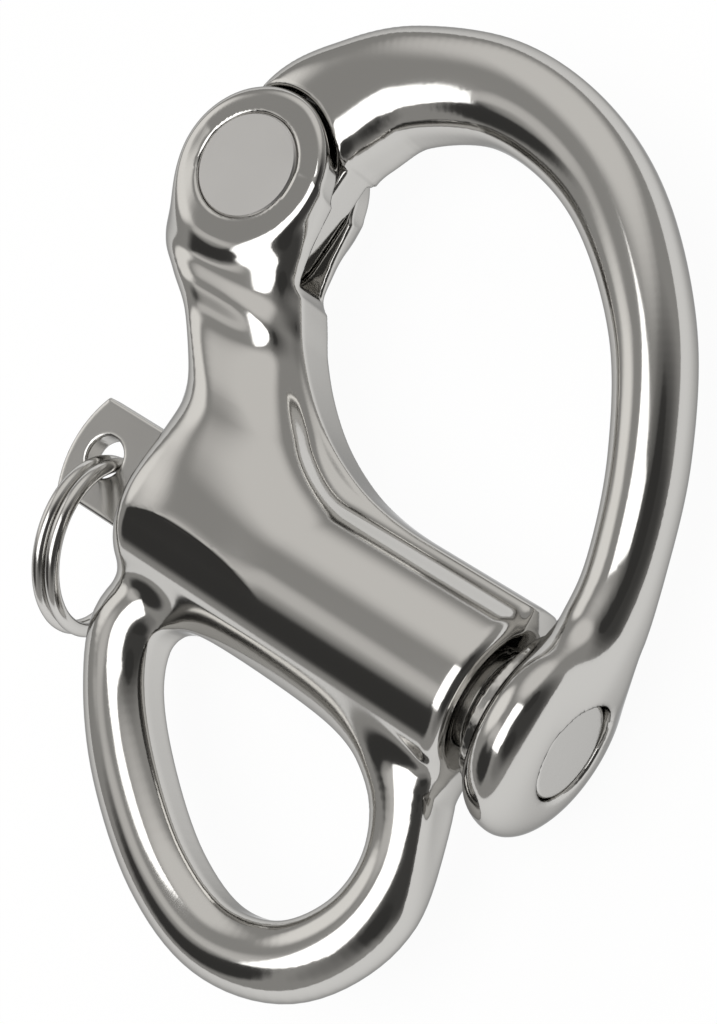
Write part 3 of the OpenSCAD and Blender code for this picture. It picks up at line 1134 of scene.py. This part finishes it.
@dataclass(frozen=True)
class Lamp:
    """A soft box aimed at the hook's middle, in metres and watts."""

    name: str
    place: Triple
    width: float
    height: float
    watts: float

    def build(self, aim: Vector) -> None:
        """Hangs the lamp.

        Args:
            aim: the point that it faces.
        """
        data = bpy.data.lights.new(self.name, "AREA")
        data.shape = "RECTANGLE"
        data.size = self.width
        data.size_y = self.height
        data.energy = self.watts
        obj = bpy.data.objects.new(self.name, data)
        obj.location = self.place
        obj.rotation_euler = (aim - Vector(self.place)).to_track_quat("-Z", "Y").to_euler()
        bpy.context.scene.collection.objects.link(obj)


@dataclass(frozen=True)
class Glow:
    """A lighter or darker part of the studio's walls: angles in degrees from X and above the floor."""

    azimuth: float
    elevation: float
    core: float
    reach: float
    level: float

    def signal(self, graph: Graph, direction: bpy.types.NodeSocket) -> Signal:
        """How much it adds to the room's light.

        Args:
            graph: the world's nodes.
            direction: the direction in which the light is looked up.

        Returns:
            Its level at the core, fading to 0 at its reach.
        """
        turn, rise = math.radians(self.azimuth), math.radians(self.elevation)
        centre = (math.cos(rise) * math.cos(turn), math.cos(rise) * math.sin(turn), math.sin(rise))
        node = graph.node("ShaderNodeVectorMath", {"operation": "DOT_PRODUCT"}, {0: direction, 1: centre})
        near = Signal(graph, node.outputs["Value"])
        return near.ramp(math.cos(math.radians(self.reach)), math.cos(math.radians(self.core))) * self.level


@dataclass(frozen=True)
class Stage:
    """Floor, world, lamp and camera. The camera's place is in millimetres, the rest in metres."""

    right: Triple = (0.746, 0.504, -0.436)
    back: Triple = (0.489, 0.03, 0.872)
    eye: Triple = (78.7, 24.3, 147.0)
    lens: float = 84.375
    sensor: float = 36.0
    clip: tuple[float, float] = (0.01, 20.0)
    aim: Triple = (-0.005, 0.02, 0.0)
    lamp: Lamp = Lamp("overhead_box", (-0.005, -0.07, 0.5), 0.36, 0.5, 1.15)
    room_level: float = 0.37
    room_least: float = 0.05
    room_colour: Colour = (1.0, 0.985, 0.96, 1.0)
    white: Colour = (1.0, 1.0, 1.0, 1.0)
    glows: tuple[Glow, ...] = (
        Glow(180.0, 28.0, 13.0, 24.0, 0.75),
        Glow(110.0, 38.0, 16.0, 36.0, 0.5),
        Glow(8.0, 38.0, 20.0, 52.0, -0.3),
        Glow(-45.0, 35.0, 8.0, 30.0, -0.12),
        Glow(-120.0, 32.0, 17.0, 27.0, -0.33),
        Glow(-145.0, 50.0, 7.0, 17.0, 0.35),
        Glow(35.0, 46.0, 5.0, 14.0, -0.12),
    )
    floor_size: float = 4.0
    floor_y: float = 0.015
    floor_colour: Colour = (0.86, 0.86, 0.86, 1.0)
    floor_glow: float = 1.04
    floor_share: float = 0.9

    def floor(self, height: float) -> None:
        """Lays a plain pale floor that stays white to the camera apart from the shadow.

        Args:
            height: of its surface.
        """
        bpy.ops.mesh.primitive_plane_add(size=self.floor_size, location=(0.0, self.floor_y, height))
        plane = bpy.context.object
        plane.name = "floor"
        made = bpy.data.materials.new("floor_white")
        made.use_nodes = True
        graph = Graph(made.node_tree)
        plain = graph.node("ShaderNodeBsdfDiffuse", None, {"Color": self.floor_colour})
        glow = graph.node("ShaderNodeEmission", None, {"Color": self.white, "Strength": self.floor_glow})
        path = graph.node("ShaderNodeLightPath")
        seen = Signal(graph, path.outputs["Is Camera Ray"]).high(Signal(graph, path.outputs["Is Glossy Ray"]))
        mix = graph.node("ShaderNodeMixShader", None,
                         {0: seen * self.floor_share, 1: plain.outputs[0], 2: glow.outputs[0]})
        graph.surface(mix.outputs[0])
        plane.data.materials.append(made)
        plane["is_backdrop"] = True

    def world(self) -> None:
        """Fills the room with light and shows the camera a white background."""
        world = bpy.data.worlds.new("studio")
        bpy.context.scene.world = world
        world.use_nodes = True
        graph = Graph(world.node_tree)
        path = graph.node("ShaderNodeLightPath")
        seen = Signal(graph, path.outputs["Is Camera Ray"])
        direction = graph.node("ShaderNodeTexCoord").outputs["Generated"]
        level: Value = self.room_level
        for glow in self.glows:
            level = glow.signal(graph, direction) + level
        room = graph.node("ShaderNodeBackground", None,
                          {"Color": self.room_colour, "Strength": level.high(self.room_least)})
        plain = graph.node("ShaderNodeBackground", None, {"Color": self.white, "Strength": 1.0})
        mix = graph.node("ShaderNodeMixShader", None, {0: seen, 1: room.outputs[0], 2: plain.outputs[0]})
        graph.node("ShaderNodeOutputWorld", None, {"Surface": mix.outputs[0]})

    def camera(self) -> None:
        """Puts the camera above the hook's side."""
        data = bpy.data.cameras.new("camera")
        data.sensor_fit = "VERTICAL"
        data.sensor_height = self.sensor
        data.sensor_width = self.sensor
        data.lens = self.lens
        data.clip_start, data.clip_end = self.clip
        obj = bpy.data.objects.new("camera", data)
        back, right = Vector(self.back).normalized(), Vector(self.right)
        right = (right - back * right.dot(back)).normalized()
        turn = Matrix((right, back.cross(right), back)).transposed()
        obj.matrix_world = Matrix.Translation(Vector(self.eye) * MM) @ turn.to_4x4()
        bpy.context.scene.collection.objects.link(obj)
        bpy.context.scene.camera = obj

    def build(self, low: Vector) -> None:
        """Sets up everything round the hook.

        Args:
            low: the lowest corner of the hook's box.
        """
        self.floor(low.z)
        self.world()
        self.lamp.build(Vector(self.aim))
        self.camera()
        bpy.context.scene.view_settings.view_transform = "Standard"


# ---------------------------------------------------------------- main


def main() -> None:
    """Dresses the frame and sets the stage, laying the floor under the hook's box as measured before
    dressing.
    """
    logging.basicConfig(level=logging.INFO)
    before = [list(corner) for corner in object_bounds()]
    finishes = Finishes()
    for assembly in (HookBody(), Bail(), Plunger(), Rivet(), PullRing()):
        assembly.dress(finishes)
        log.info("dressed: %s", type(assembly).__name__)
    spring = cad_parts["plunger_spring"]
    wear(spring, finishes.spring)
    log.info("dressed: %s", spring.name)
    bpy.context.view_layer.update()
    Stage().build(Vector(before[0]))


if __name__ == "__main__":
    main()
